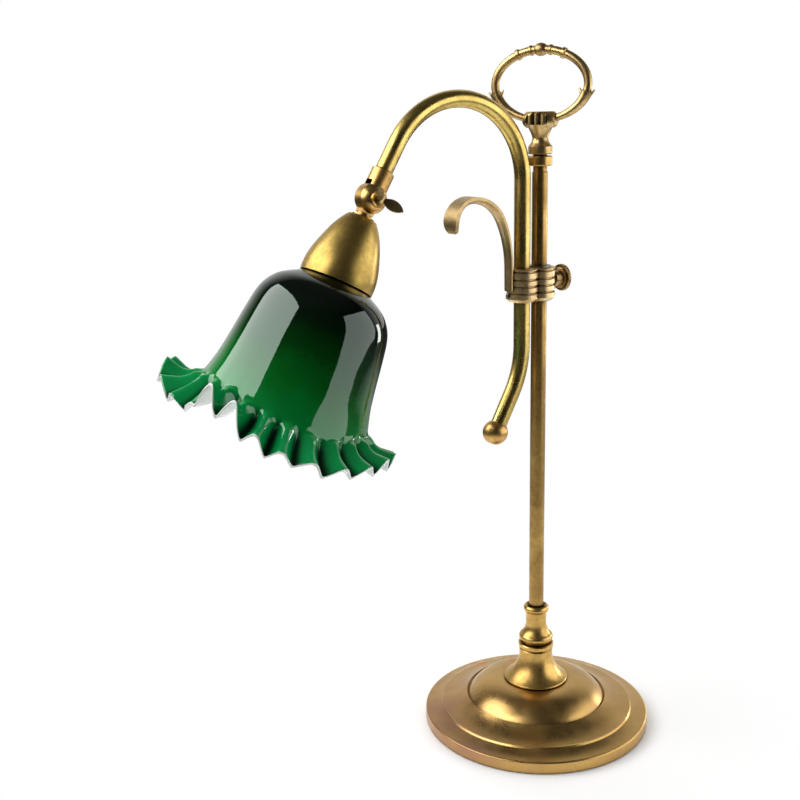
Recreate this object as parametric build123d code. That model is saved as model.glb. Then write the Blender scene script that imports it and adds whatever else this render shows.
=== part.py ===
from build123d import *
import os
from math import cos, degrees, radians, sin

# Adjustable desk lamp with a round stand, a sliding swan-neck arm and a frilled glass shade.
# Millimetres. The origin is the middle of the base's underside, the stem stands on +Z,
# the arm reaches towards -X and the clamp's thumbscrew points towards +X.

# Fits
RUNNING_GAP = 0.05
SEAT_GAP = 0.1
CASTING_GAP = 0.4

# Base
PLATE_RADIUS = 85.0
SHEET = 1.6
FELT_THICKNESS = 2.0
FELT_SET_IN = 1.2
RIM_TOP_Z = 9.4
RIM_ROUND = 1.3
STEP_RADIUS = 72.6
SHOULDER_Z = 13.8
BEAD_HEIGHT = 1.1
RIDGE_RADIUS = 53.0
RIDGE_Z = 21.4
GROOVE_WIDTH = 2.4
GROOVE_DEPTH = 1.4
DOME_SEAT_RADIUS = 25.6
DOME_TOP_Z = 33.0
NUT_POCKET_RADIUS = 14.0
NUT_POCKET_DEPTH = 10.0
NUT_ACROSS_FLATS = 13.0
NUT_HEIGHT = 6.5
WASHER_RADIUS = 12.0
WASHER_THICKNESS = 1.8

# Stem and turned fittings
TIE_ROD_RADIUS = 4.0
TIE_ROD_GRIP = 34.0
STEM_RADIUS = 5.5
STEM_BORE_RADIUS = 4.05
STEM_TOP_Z = 416.4
STEM_SPIGOT_RADIUS = 4.9
STEM_SPIGOT_LENGTH = 16.5
PEDESTAL_HEIGHT = 29.3
PEDESTAL_LIP_RADIUS = 24.2
PEDESTAL_NECK_RADIUS = 12.6
PEDESTAL_RIM_RADIUS = 13.3
PEDESTAL_BAND = 3.2
PEDESTAL_LINE = 0.6
FERRULE_HEIGHT = 30.6
FERRULE_FLANGE_RADIUS = 12.9
FERRULE_WAIST_RADIUS = 7.7
FERRULE_BEAD_RADIUS = 9.6
FERRULE_SOCKET = 13.0
COLLAR_RADIUS = 8.4
COLLAR_NECK = 3.9
COLLAR_HEIGHT = 6.8
COLLAR_SPLIT = 1.1

# Handle
YOKE_WAIST_RADIUS = 5.5
YOKE_WAIST_RISE = 23.0
GRIP_RISE = 29.6
GRIP_HEIGHT = 10.8
GRIP_RIBS = 5
GRIP_RIB_PITCH = 4.7
GRIP_RIB_RADIUS = 2.45
GRIP_HALF_DEPTH = 5.6
GRIP_ROUND = (13.4, 9.4, 8.0)
BOW_HALF_WIDTH = 34.0
BOW_HALF_HEIGHT = 23.2
BOW_CENTRE_RISE = 58.0
BOW_WIRE_RADIUS = 2.85
BOW_END_ANGLE = -14.0
BALL_HALF_LENGTH = 5.5
BALL_RADIUS = 4.4
LIMB_ROOT_ANGLE = -74.0
LIMB_ROOT_RADIUS = 2.3
LIMB_END_RADIUS = 3.9
LIMB_STATIONS = 6
LEAF_TIP_LENGTH = 6.5
LEAF_TIP_RADIUS = 1.9
BARBS = 5
BARB_LENGTH = 4.0
BARB_RADIUS = 0.9
BAMBOO_RINGS = ((78.0, 3.5, 2.2), (61.0, 3.7, 3.2))
HANDLE_TURN = -62.5

# Clamp
CLAMP_LOW_Z = 327.2
CLAMP_RIB_HEIGHTS = (5.9, 4.0, 4.0, 4.7, 1.6)
CLAMP_GROOVE = 0.8
CLAMP_GROOVE_DEPTH = 1.0
CLAMP_EDGE = 0.6
CLAMP_FOOT_EDGE = 2.2
BARREL_RADIUS = 11.3
ARM_OFFSET = 15.6
LINER_WALL = 0.95
LINER_FLANGE = 1.6
LINER_FLANGE_THICKNESS = 0.8
SET_SCREW_RADIUS = 1.8
SET_SCREW_LENGTH = 4.2
SET_SCREW_Z = 332.4

# Thumbscrew
THUMB_Z = 340.8
THUMB_SHANK_RADIUS = 2.5
THUMB_COLLAR_RADIUS = 5.6
THUMB_COLLAR_LENGTH = 6.4
THUMB_STEP_RADIUS = 7.6
THUMB_STEP_LENGTH = 1.6
THUMB_HEAD_RADIUS = 9.6
THUMB_HEAD_THICKNESS = 2.8
THUMB_NOTCHES = 30
THUMB_NOTCH_RADIUS = 0.55

# Arm tube
TUBE_RADIUS = 5.75
TUBE_WALL = 1.0
STRAIGHT_LOW_Z = 296.0
STRAIGHT_TOP_Z = 412.1
ARCH_RISE_RADIUS = 54.0
ARCH_FALL_RADIUS = 57.0
ARCH_FALL_ANGLE = 58.5
ARCH_END_LENGTH = 19.5
TAIL_RADIUS = 70.0
TAIL_ANGLE = 29.0
TAIL_LENGTH = 30.7
ARM_BALL_RADIUS = 9.0
BALL_SOCKET = 4.5
OUTLET_RADIUS = 3.2

# Hook
HOOK_LOW_Z = 335.6
HOOK_STRAIGHT = 17.0
HOOK_RISE_RADIUS = 75.0
HOOK_RISE_ANGLE = 25.0
HOOK_CROWN_RADIUS = 27.0
HOOK_CURL_RADIUS = 15.0
HOOK_CURL_ANGLE = 118.0
HOOK_ROOT_WIDTH = 8.0
HOOK_TIP_WIDTH = 15.5
HOOK_ROOT_THICKNESS = 2.6
HOOK_TIP_THICKNESS = 6.2
HOOK_STATIONS = 12
HOOK_NOSE = 0.9
HOOK_NOSE_SHARES = (0.955, 0.985)

# Knuckle, measured from the hinge pin's middle
FERRULE_RADIUS = 7.5
FERRULE_REACH = 19.5
TUBE_SOCKET = 8.5
KNUCKLE_RADIUS = 10.3
SLOT_WIDTH = 7.2
SLOT_ROOF = 10.1
TONGUE_THICKNESS = 7.0
TONGUE_RADIUS = 9.7
NECK_RADIUS = 4.8
NECK_START = 10.75
FLANGE_START = 12.6
FLANGE_RADIUS = 7.3
FLANGE_THICKNESS = 1.3
STUB_RADIUS = 4.5
STUB_LENGTH = 10.5
PIN_RADIUS = 2.5
BOSS_RADIUS = 5.4
BOSS_REACH = 10.9
WING_HUB_RADIUS = 3.2
WING_HUB_LENGTH = 4.0
WING_THICKNESS = 1.4
WING_REACH = 15.5
WING_HALF_WIDTH = 3.5
WING_FLARE = 38.0
WING_TURN = 40.0
WIRE_WAY_RADIUS = 2.6

# Shade, measured down its own axis from the top of the cap
SHADE_TILT = 28.4
CAP_TOP = 14.0
CAP_WALL = 1.0
CAP_LENGTH = 44.0
CAP_SHOULDER_RADIUS = 9.8
CAP_RIM_RADIUS = 24.1
HOLDER_TOP = 7.5
HOLDER_RADIUS = 15.5
HOLDER_WALL = 1.6
HOLDER_LENGTH = 34.5
HOLDER_FLANGE_RADIUS = 20.6
HOLDER_FLANGE_AT = 31.4
HOLDER_FLANGE_THICKNESS = 1.6
INSERT_LENGTH = 9.0
RING_RADIUS = 20.4
RING_HEIGHT = 4.0
GLASS_WALL = 3.0
GLASS_NECK_RADIUS = 21.9
GLASS_HOLE_RADIUS = 15.9
GLASS_MOUTH_AT = 122.0
GLASS_MOUTH_RADIUS = 54.5
BELL_STATIONS = ((0.431, 0.666), (0.545, 0.807), (0.779, 0.892))
PLEATS = 28
PLEAT_STEPS = 4
PLEAT_DEPTH = 4.6
PLEAT_FOOT = 0.25
FRILL_LENGTH = 26.0
FRILL_DROOP = 3.0
FRILL_LEAN = 66.0
FRILL_LEAN_SWING = 20.0
FRILL_START_LEAN = 16.0
FRILL_BROAD_SIDE = 147.0
FRILL_ROWS = 5
FRILL_WALL = 2.2
FRILL_ROOT = 2.5
BULB_CAP_RADIUS = 13.3
BULB_CAP_LENGTH = 23.0
BULB_RADIUS = 22.5
BULB_NECK_RADIUS = 12.4
BULB_LENGTH = 47.0
BULB_CAP_WALL = 0.7
BULB_NECK_GRIP = 8.0
BULB_WALL = 1.0

# Places worked out from the sizes above
PEDESTAL_TOP_Z = DOME_TOP_Z + PEDESTAL_HEIGHT
FERRULE_TOP_Z = PEDESTAL_TOP_Z + FERRULE_HEIGHT
STEM_LOW_Z = FERRULE_TOP_Z - FERRULE_SOCKET
COLLAR_LOW_Z = STEM_TOP_Z + COLLAR_NECK
COLLAR_TOP_Z = COLLAR_LOW_Z + COLLAR_HEIGHT
YOKE_WAIST_Z = STEM_TOP_Z + YOKE_WAIST_RISE
GRIP_BOTTOM_Z = STEM_TOP_Z + GRIP_RISE
BOW_CENTRE_Z = STEM_TOP_Z + BOW_CENTRE_RISE
YOKE_LOW_Z = COLLAR_TOP_Z + COLLAR_SPLIT
LINER_BORE_RADIUS = STEM_RADIUS + RUNNING_GAP
LINER_RADIUS = LINER_BORE_RADIUS + LINER_WALL
CLAMP_BORE_RADIUS = LINER_RADIUS + RUNNING_GAP
CLAMP_HEIGHT = sum(CLAMP_RIB_HEIGHTS) + CLAMP_GROOVE * (len(CLAMP_RIB_HEIGHTS) - 1)
CLAMP_TOP_Z = CLAMP_LOW_Z + CLAMP_HEIGHT


def at_radius(angle, radius):
    """Point of the XY plane at an angle in degrees and a radius."""
    return (radius * cos(radians(angle)), radius * sin(radians(angle)))


def turned(*edges):
    """Solid turned about Z from edges that close a half section, drawn as (radius, height)."""
    section = make_face(Plane.XZ * Curve([*edges]))
    return revolve(section, Axis.Z)


def turned_polygon(*corners):
    """Turned solid whose half section is a polygon of (radius, height) corners."""
    return turned(*Polyline(*corners, close=True).edges())


def ring(outer, inner, low, high):
    """Plain tube or ring on the Z axis."""
    return turned_polygon((inner, low), (outer, low), (outer, high), (inner, high))


def along(origin, direction, shape):
    """Place a shape made on the Z axis so that it starts at origin and points in direction."""
    return Plane(origin=origin, z_dir=direction) * shape


# Base

def dish_edges(drop):
    """Upper outline of the dish, lowered by drop, from the centre bore out to the rim."""
    rim = PLATE_RADIUS - drop
    bore = TIE_ROD_RADIUS + SEAT_GAP
    seat = (DOME_SEAT_RADIUS, DOME_TOP_Z - drop)
    dome_end = (RIDGE_RADIUS - GROOVE_WIDTH, RIDGE_Z - drop)
    groove = (RIDGE_RADIUS - GROOVE_WIDTH / 2, RIDGE_Z - GROOVE_DEPTH - drop)
    ridge = (RIDGE_RADIUS, RIDGE_Z - GROOVE_DEPTH * 0.3 - drop)
    shoulder = (STEP_RADIUS - 1.8, SHOULDER_Z - drop)
    bead = (STEP_RADIUS - 0.6, SHOULDER_Z - drop)
    bead_foot = (STEP_RADIUS + 0.3, SHOULDER_Z - BEAD_HEIGHT - drop)
    rim_in = (rim - RIM_ROUND, RIM_TOP_Z - drop)
    rim_out = (rim, RIM_TOP_Z - RIM_ROUND - drop)
    dome_bulge = ((seat[0] + dome_end[0]) / 2 + 1.5, (seat[1] + dome_end[1]) / 2 + 2.9)
    ring_dip = ((ridge[0] + shoulder[0]) / 2 - 0.4, (ridge[1] + shoulder[1]) / 2 - 1.0)
    rim_dip = ((bead_foot[0] + rim_in[0]) / 2, (bead_foot[1] + rim_in[1]) / 2 - 0.5)
    return [
        Line((bore, DOME_TOP_Z - drop), seat),
        ThreePointArc(seat, dome_bulge, dome_end),
        Line(dome_end, groove),
        Line(groove, ridge),
        ThreePointArc(ridge, ring_dip, shoulder),
        Line(shoulder, bead),
        Line(bead, bead_foot),
        ThreePointArc(bead_foot, rim_dip, rim_in),
        RadiusArc(rim_in, rim_out, RIM_ROUND),
    ]


def base_plate():
    """Spun dish of one sheet thickness, open underneath."""
    low = FELT_THICKNESS - FELT_SET_IN
    bore = TIE_ROD_RADIUS + SEAT_GAP
    outside = dish_edges(0)
    inside = dish_edges(SHEET)
    rim_edge = [
        Line(outside[-1] @ 1, (PLATE_RADIUS, low)),
        Line((PLATE_RADIUS, low), (PLATE_RADIUS - SHEET, low)),
        Line((PLATE_RADIUS - SHEET, low), inside[-1] @ 1),
    ]
    bore_edge = Line((bore, DOME_TOP_Z), (bore, DOME_TOP_Z - SHEET))
    return turned(*outside, *rim_edge, *inside, bore_edge)


def base_weight():
    """Iron ballast that fills the dish and pockets the nut from below."""
    drop = SHEET + CASTING_GAP
    bore = TIE_ROD_RADIUS + SEAT_GAP
    outline = dish_edges(drop)
    foot = [
        Line(outline[-1] @ 1, (PLATE_RADIUS - drop, FELT_THICKNESS)),
        Line((PLATE_RADIUS - drop, FELT_THICKNESS), (bore, FELT_THICKNESS)),
        Line((bore, FELT_THICKNESS), (bore, DOME_TOP_Z - drop)),
    ]
    pocket = Pos(0, 0, FELT_THICKNESS) * Cylinder(
        NUT_POCKET_RADIUS, NUT_POCKET_DEPTH, align=(Align.CENTER, Align.CENTER, Align.MIN)
    )
    return turned(*outline, *foot) - pocket


def base_felt():
    """Disc on which the lamp stands."""
    return Cylinder(
        PLATE_RADIUS - SHEET - SEAT_GAP * 6, FELT_THICKNESS,
        align=(Align.CENTER, Align.CENTER, Align.MIN),
    )


def base_washer():
    """Washer against the roof of the nut's pocket."""
    roof = FELT_THICKNESS + NUT_POCKET_DEPTH
    return ring(WASHER_RADIUS, TIE_ROD_RADIUS + SEAT_GAP, roof - WASHER_THICKNESS, roof)


def base_nut():
    """Hexagon nut under the washer."""
    roof = FELT_THICKNESS + NUT_POCKET_DEPTH - WASHER_THICKNESS
    hexagon = RegularPolygon(NUT_ACROSS_FLATS / 2, 6, major_radius=False)
    bore = Circle(TIE_ROD_RADIUS + SEAT_GAP)
    return Pos(0, 0, roof - NUT_HEIGHT) * extrude(hexagon - bore, NUT_HEIGHT)


def tie_rod():
    """Rod from the nut up into the stem's bore."""
    low = FELT_THICKNESS + 0.6
    return Pos(0, 0, low) * Cylinder(
        TIE_ROD_RADIUS, STEM_LOW_Z + TIE_ROD_GRIP - low,
        align=(Align.CENTER, Align.CENTER, Align.MIN),
    )


# Stem and turned fittings

def pedestal():
    """Trumpet with a rolled lip, a flare, an incised line and a banded rim."""
    bore = TIE_ROD_RADIUS + SEAT_GAP
    lip_foot = (PEDESTAL_LIP_RADIUS - 0.6, DOME_TOP_Z)
    lip_in = (PEDESTAL_LIP_RADIUS - 0.9, DOME_TOP_Z + 2.2)
    flare_top = (PEDESTAL_NECK_RADIUS, PEDESTAL_TOP_Z - 10.0)
    line_z = PEDESTAL_TOP_Z - PEDESTAL_BAND - 2 * PEDESTAL_LINE
    band_z = PEDESTAL_TOP_Z - PEDESTAL_BAND
    neck = Polyline(
        flare_top,
        (PEDESTAL_NECK_RADIUS, line_z - PEDESTAL_LINE),
        (PEDESTAL_NECK_RADIUS - PEDESTAL_LINE, line_z),
        (PEDESTAL_NECK_RADIUS, line_z + PEDESTAL_LINE),
        (PEDESTAL_RIM_RADIUS, band_z + 0.3),
        (PEDESTAL_RIM_RADIUS, PEDESTAL_TOP_Z - 0.6),
        (PEDESTAL_RIM_RADIUS - 0.6, PEDESTAL_TOP_Z),
        (bore, PEDESTAL_TOP_Z),
        (bore, DOME_TOP_Z),
        lip_foot,
    )
    return turned(
        RadiusArc(lip_foot, lip_in, -1.25),
        ThreePointArc(lip_in, (PEDESTAL_NECK_RADIUS + 3.5, DOME_TOP_Z + 9.6), flare_top),
        *neck.edges(),
    )


def stem_ferrule():
    """Bell-shaped socket with a rounded flange, a waist and a beaded, dished top."""
    bore = TIE_ROD_RADIUS + SEAT_GAP
    foot = PEDESTAL_TOP_Z
    flange_low = foot + 1.6
    flange_high = flange_low + 6.0
    waist_z = foot + 16.5
    bead_low = FERRULE_TOP_Z - 5.6
    bead_high = FERRULE_TOP_Z - 0.9
    dish_radius = FERRULE_BEAD_RADIUS - 1.9
    socket = STEM_RADIUS + RUNNING_GAP
    flange_in = FERRULE_FLANGE_RADIUS - 2.0
    return turned(
        Line((bore, foot), (flange_in - 0.4, foot)),
        Line((flange_in - 0.4, foot), (flange_in, flange_low)),
        ThreePointArc((flange_in, flange_low),
                      (FERRULE_FLANGE_RADIUS, (flange_low + flange_high) / 2),
                      (flange_in + 0.4, flange_high)),
        ThreePointArc((flange_in + 0.4, flange_high), (FERRULE_WAIST_RADIUS + 0.9, waist_z - 4.8),
                      (FERRULE_WAIST_RADIUS, waist_z)),
        Line((FERRULE_WAIST_RADIUS, waist_z), (FERRULE_WAIST_RADIUS, bead_low)),
        ThreePointArc((FERRULE_WAIST_RADIUS, bead_low),
                      (FERRULE_BEAD_RADIUS, (bead_low + bead_high) / 2 + 0.2),
                      (dish_radius, FERRULE_TOP_Z)),
        Line((dish_radius, FERRULE_TOP_Z), (socket, FERRULE_TOP_Z - 1.5)),
        Line((socket, FERRULE_TOP_Z - 1.5), (socket, STEM_LOW_Z)),
        Line((socket, STEM_LOW_Z), (bore, STEM_LOW_Z)),
        Line((bore, STEM_LOW_Z), (bore, foot)),
    )


def stem():
    """Brass tube, turned down at the top for the two collars."""
    tip = STEM_TOP_Z + STEM_SPIGOT_LENGTH
    return turned_polygon(
        (STEM_BORE_RADIUS, STEM_LOW_Z),
        (STEM_RADIUS, STEM_LOW_Z),
        (STEM_RADIUS, STEM_TOP_Z - 0.4),
        (STEM_RADIUS - 0.4, STEM_TOP_Z),
        (STEM_SPIGOT_RADIUS, STEM_TOP_Z),
        (STEM_SPIGOT_RADIUS, tip),
        (STEM_BORE_RADIUS, tip),
    )


def lock_collar():
    """Plain collar with rounded edges that ends the clamp's travel."""
    bore = STEM_SPIGOT_RADIUS + RUNNING_GAP
    collar = ring(COLLAR_RADIUS, bore, COLLAR_LOW_Z, COLLAR_TOP_Z)
    outer_edges = collar.edges().filter_by(GeomType.CIRCLE).sort_by(SortBy.RADIUS)[-2:]
    return fillet(outer_edges, 0.9)


# Handle, drawn in the XZ plane and turned about the stem at the end

def bow_point(angle):
    """Point on the handle's centre line, 0 to the right and 90 at the top."""
    x = BOW_HALF_WIDTH * cos(radians(angle))
    return (x, 0, BOW_CENTRE_Z + BOW_HALF_HEIGHT * sin(radians(angle)))


def bow_plane(angle):
    """Plane square to the handle's centre line at an angle."""
    heading = (-BOW_HALF_WIDTH * sin(radians(angle)), 0, BOW_HALF_HEIGHT * cos(radians(angle)))
    return Plane(origin=bow_point(angle), x_dir=(0, 1, 0), z_dir=heading)


def limb(start, end, radius):
    """Round bar along the handle's centre line between two angles."""
    arc = EllipticalCenterArc(
        (0, BOW_CENTRE_Z), BOW_HALF_WIDTH, BOW_HALF_HEIGHT, start, arc_size=end - start
    )
    path = Plane.XZ * arc
    return sweep(bow_plane(start) * Circle(radius), path=path)


def yoke_neck():
    """Upper collar, bead, waist and flare under the grip."""
    bore = STEM_SPIGOT_RADIUS + RUNNING_GAP
    bore_top = STEM_TOP_Z + STEM_SPIGOT_LENGTH + SEAT_GAP
    top = YOKE_LOW_Z + 5.2
    bead = (YOKE_WAIST_RADIUS + 1.0, top + 2.4)
    waist = (YOKE_WAIST_RADIUS, YOKE_WAIST_Z)
    flare_end = (GRIP_RIB_PITCH * (GRIP_RIBS - 1) / 2 + 0.4, GRIP_BOTTOM_Z + 2.0)
    return turned(
        Line((bore, YOKE_LOW_Z), (COLLAR_RADIUS - 0.7, YOKE_LOW_Z)),
        Line((COLLAR_RADIUS - 0.7, YOKE_LOW_Z), (COLLAR_RADIUS, YOKE_LOW_Z + 0.7)),
        Line((COLLAR_RADIUS, YOKE_LOW_Z + 0.7), (COLLAR_RADIUS, top)),
        Line((COLLAR_RADIUS, top), bead),
        ThreePointArc(bead, (YOKE_WAIST_RADIUS + 0.1, YOKE_WAIST_Z - 1.2), waist),
        ThreePointArc(waist, (YOKE_WAIST_RADIUS + 1.4, YOKE_WAIST_Z + 4.0), flare_end),
        Line(flare_end, (0, GRIP_BOTTOM_Z + 2.0)),
        Line((0, GRIP_BOTTOM_Z + 2.0), (0, bore_top)),
        Line((0, bore_top), (bore, bore_top)),
        Line((bore, bore_top), (bore, YOKE_LOW_Z)),
    )


def grip():
    """Ribbed grip: rounded fingers side by side, trimmed to one rounded bundle."""
    fingers = []
    half = (GRIP_RIBS - 1) / 2
    for index in range(GRIP_RIBS):
        x = (index - half) * GRIP_RIB_PITCH
        slot = SlotOverall(2 * (GRIP_HALF_DEPTH + GRIP_RIB_RADIUS), 2 * GRIP_RIB_RADIUS, rotation=90)
        fingers.append(extrude(Pos(x, 0, GRIP_BOTTOM_Z) * slot, GRIP_HEIGHT))
    bundle = fingers[0].fuse(*fingers[1:])
    rounding = scale(Sphere(1.0), GRIP_ROUND)
    return bundle & Pos(0, 0, GRIP_BOTTOM_Z + GRIP_HEIGHT / 2) * rounding


def spike(base, direction, radius, length):
    """Small tapered tip that starts inside the limb and points in a direction."""
    cone = Cone(radius, radius * 0.25, length, align=(Align.CENTER, Align.CENTER, Align.MIN))
    return along(base, direction, cone)


def leaf_arm(side):
    """Lower limb that thickens into a leaf, with barbs outside and a curled tip on both faces."""
    stations = []
    for index in range(LIMB_STATIONS):
        share = index / (LIMB_STATIONS - 1)
        angle = LIMB_ROOT_ANGLE + (BOW_END_ANGLE + 2.0 - LIMB_ROOT_ANGLE) * share
        radius = LIMB_ROOT_RADIUS + (LIMB_END_RADIUS - LIMB_ROOT_RADIUS) * share
        stations.append(bow_plane(angle) * Circle(radius))
    arm = [loft(stations)]
    end = bow_point(BOW_END_ANGLE - 5.0)
    inner_start = (end[0] - 1.6, 0, end[2] - 1.0)
    outer_start = (end[0] + 1.8, 0, end[2] - 1.0)
    arm.append(spike(inner_start, (-0.42, 0, 0.9), LEAF_TIP_RADIUS, LEAF_TIP_LENGTH))
    arm.append(spike(outer_start, (0.75, 0, 0.66), LEAF_TIP_RADIUS, LEAF_TIP_LENGTH))
    for index in range(BARBS):
        angle = LIMB_ROOT_ANGLE + 14.0 + 9.0 * index
        root = bow_point(angle)
        heading = (cos(radians(angle * 0.4)), 0, -sin(radians(angle * 0.4)) * 0.2 + 0.5)
        arm.append(spike((root[0] + 0.6, 0, root[2] - 1.2), heading, BARB_RADIUS, BARB_LENGTH))
    shape = arm[0].fuse(*arm[1:])
    return shape if side > 0 else mirror(shape, about=Plane.YZ)


def handle_yoke():
    """Everything of the handle below the bow, in one casting."""
    body = yoke_neck().fuse(grip(), leaf_arm(1), leaf_arm(-1))
    socket_low = BOW_END_ANGLE - SEAT_GAP
    sockets = [
        limb(socket_low, BOW_END_ANGLE + 6.0, BOW_WIRE_RADIUS + RUNNING_GAP),
        limb(174.0 - BOW_END_ANGLE, 180.0 - socket_low, BOW_WIRE_RADIUS + RUNNING_GAP),
    ]
    return Rot(0, 0, HANDLE_TURN) * (body - sockets)


def handle_bow():
    """Bow with a ball at the crown and two bamboo rings on each side of it."""
    inside_ball = 90.0 - degrees(BALL_HALF_LENGTH * 0.4 / BOW_HALF_WIDTH)
    arms = [
        limb(BOW_END_ANGLE, inside_ball, BOW_WIRE_RADIUS),
        limb(180.0 - BOW_END_ANGLE, 180.0 - inside_ball, BOW_WIRE_RADIUS),
    ]
    ball = turned(
        ThreePointArc((0, -BALL_HALF_LENGTH), (BALL_RADIUS, 0), (0, BALL_HALF_LENGTH)),
        Line((0, BALL_HALF_LENGTH), (0, -BALL_HALF_LENGTH)),
    )
    rings = []
    for angle, radius, length in BAMBOO_RINGS:
        for place in (angle, 180.0 - angle):
            band = Cylinder(radius, length)
            step = radius - BOW_WIRE_RADIUS
            band = chamfer(band.edges().filter_by(GeomType.CIRCLE), 0.7 * step)
            rings.append(bow_plane(place) * band)
    return Rot(0, 0, HANDLE_TURN) * (bow_plane(90) * ball).fuse(*arms, *rings)


# Slider, clamp and screws

def slider_liner():
    """Flanged sleeve between the stem and the clamp."""
    low = CLAMP_LOW_Z - RUNNING_GAP
    high = CLAMP_TOP_Z + RUNNING_GAP
    flange = LINER_RADIUS + LINER_FLANGE
    return turned_polygon(
        (LINER_BORE_RADIUS, low - LINER_FLANGE_THICKNESS),
        (flange, low - LINER_FLANGE_THICKNESS),
        (flange, low),
        (LINER_RADIUS, low),
        (LINER_RADIUS, high),
        (flange, high),
        (flange, high + LINER_FLANGE_THICKNESS),
        (LINER_BORE_RADIUS, high + LINER_FLANGE_THICKNESS),
    )


def clamp_outline(inset):
    """Figure of eight round stem and arm tube, drawn inset from its full size."""
    radius = BARREL_RADIUS - inset
    return Circle(radius) + Pos(-ARM_OFFSET, 0) * Circle(radius)


def clamp_body():
    """Twin barrels with rounded ribs, bored for liner, tube, thumbscrew and set screw."""
    core_height = CLAMP_HEIGHT - CLAMP_FOOT_EDGE - CLAMP_EDGE
    core = Pos(0, 0, CLAMP_LOW_Z + CLAMP_FOOT_EDGE) * extrude(
        clamp_outline(CLAMP_GROOVE_DEPTH), core_height
    )
    ribs = []
    low = CLAMP_LOW_Z
    for height in CLAMP_RIB_HEIGHTS:
        rib = Pos(0, 0, low) * extrude(clamp_outline(0), height)
        ends = rib.faces().filter_by(Axis.Z).sort_by(Axis.Z)
        foot_edge = CLAMP_FOOT_EDGE if low == CLAMP_LOW_Z else CLAMP_EDGE
        rib = chamfer(ends[0].edges(), foot_edge)
        rib = chamfer(rib.faces().filter_by(Axis.Z).sort_by(Axis.Z)[-1].edges(), CLAMP_EDGE)
        ribs.append(rib)
        low += height + CLAMP_GROOVE
    body = core.fuse(*ribs)
    middle = Pos(0, 0, (CLAMP_LOW_Z + CLAMP_TOP_Z) / 2)
    body -= middle * Cylinder(CLAMP_BORE_RADIUS, 2 * CLAMP_HEIGHT)
    body -= middle * Pos(-ARM_OFFSET, 0, 0) * Cylinder(TUBE_RADIUS + RUNNING_GAP, 2 * CLAMP_HEIGHT)
    from_start = (Align.CENTER, Align.CENTER, Align.MIN)
    thumb_hole = Cylinder(THUMB_SHANK_RADIUS + RUNNING_GAP, 2 * BARREL_RADIUS, align=from_start)
    set_hole = Cylinder(SET_SCREW_RADIUS + RUNNING_GAP, 2 * BARREL_RADIUS, align=from_start)
    body -= along((0, 0, THUMB_Z), (1, 0, 0), thumb_hole)
    body -= along((-ARM_OFFSET, 0, SET_SCREW_Z), (-1, 0, 0), set_hole)
    return body


def arm_set_screw():
    """Headless screw sunk in the arm barrel, with its tip on the tube."""
    start = (-ARM_OFFSET - TUBE_RADIUS - RUNNING_GAP, 0, SET_SCREW_Z)
    screw = Cylinder(
        SET_SCREW_RADIUS, SET_SCREW_LENGTH, align=(Align.CENTER, Align.CENTER, Align.MIN)
    )
    return along(start, (-1, 0, 0), screw)


def thumbscrew():
    """Screw with a stepped collar and a thin knurled head."""
    shank_end = LINER_RADIUS + SEAT_GAP
    seat = BARREL_RADIUS + SEAT_GAP
    collar_end = seat + THUMB_COLLAR_LENGTH
    step_end = collar_end + THUMB_STEP_LENGTH
    head_end = step_end + THUMB_HEAD_THICKNESS
    screw = turned_polygon(
        (0, shank_end),
        (THUMB_SHANK_RADIUS, shank_end),
        (THUMB_SHANK_RADIUS, seat),
        (THUMB_COLLAR_RADIUS - 1.2, seat),
        (THUMB_COLLAR_RADIUS, seat + 1.0),
        (THUMB_COLLAR_RADIUS, collar_end),
        (THUMB_STEP_RADIUS, collar_end + 0.5),
        (THUMB_STEP_RADIUS, step_end),
        (THUMB_HEAD_RADIUS - 0.5, step_end),
        (THUMB_HEAD_RADIUS, step_end + 0.5),
        (THUMB_HEAD_RADIUS, head_end - 0.5),
        (THUMB_HEAD_RADIUS - 0.5, head_end),
        (0, head_end),
    )
    notches = PolarLocations(THUMB_HEAD_RADIUS, THUMB_NOTCHES) * Circle(THUMB_NOTCH_RADIUS)
    screw -= extrude(Pos(0, 0, step_end - 1.0) * Sketch(notches), THUMB_HEAD_THICKNESS + 2.0)
    return along((0, 0, THUMB_Z), (1, 0, 0), screw)


# Arm

def tail_line():
    """Lower stretch of the arm from the straight to the ball, drawn in X and Z."""
    bend = JernArc((-ARM_OFFSET, STRAIGHT_LOW_Z), (0, -1), TAIL_RADIUS, -TAIL_ANGLE)
    heading = bend % 1
    return bend, Line(bend @ 1, bend @ 1 + heading * TAIL_LENGTH), heading


def arch_line():
    """Upper stretch of the arm from the straight to the ferrule, drawn in X and Z."""
    rise = JernArc((-ARM_OFFSET, STRAIGHT_TOP_Z), (0, 1), ARCH_RISE_RADIUS, 90)
    fall = JernArc(rise @ 1, (-1, 0), ARCH_FALL_RADIUS, ARCH_FALL_ANGLE)
    heading = fall % 1
    return rise, fall, Line(fall @ 1, fall @ 1 + heading * ARCH_END_LENGTH), heading


TAIL_BEND, TAIL_RUN, TAIL_HEADING = tail_line()
ARCH_RISE, ARCH_FALL, ARCH_RUN, ARCH_HEADING = arch_line()
BALL_AT = TAIL_RUN @ 1
FERRULE_AT = ARCH_RUN @ 1
PIVOT_AT = FERRULE_AT + ARCH_HEADING * FERRULE_REACH
PIVOT = (PIVOT_AT.X, 0, PIVOT_AT.Y)


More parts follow.
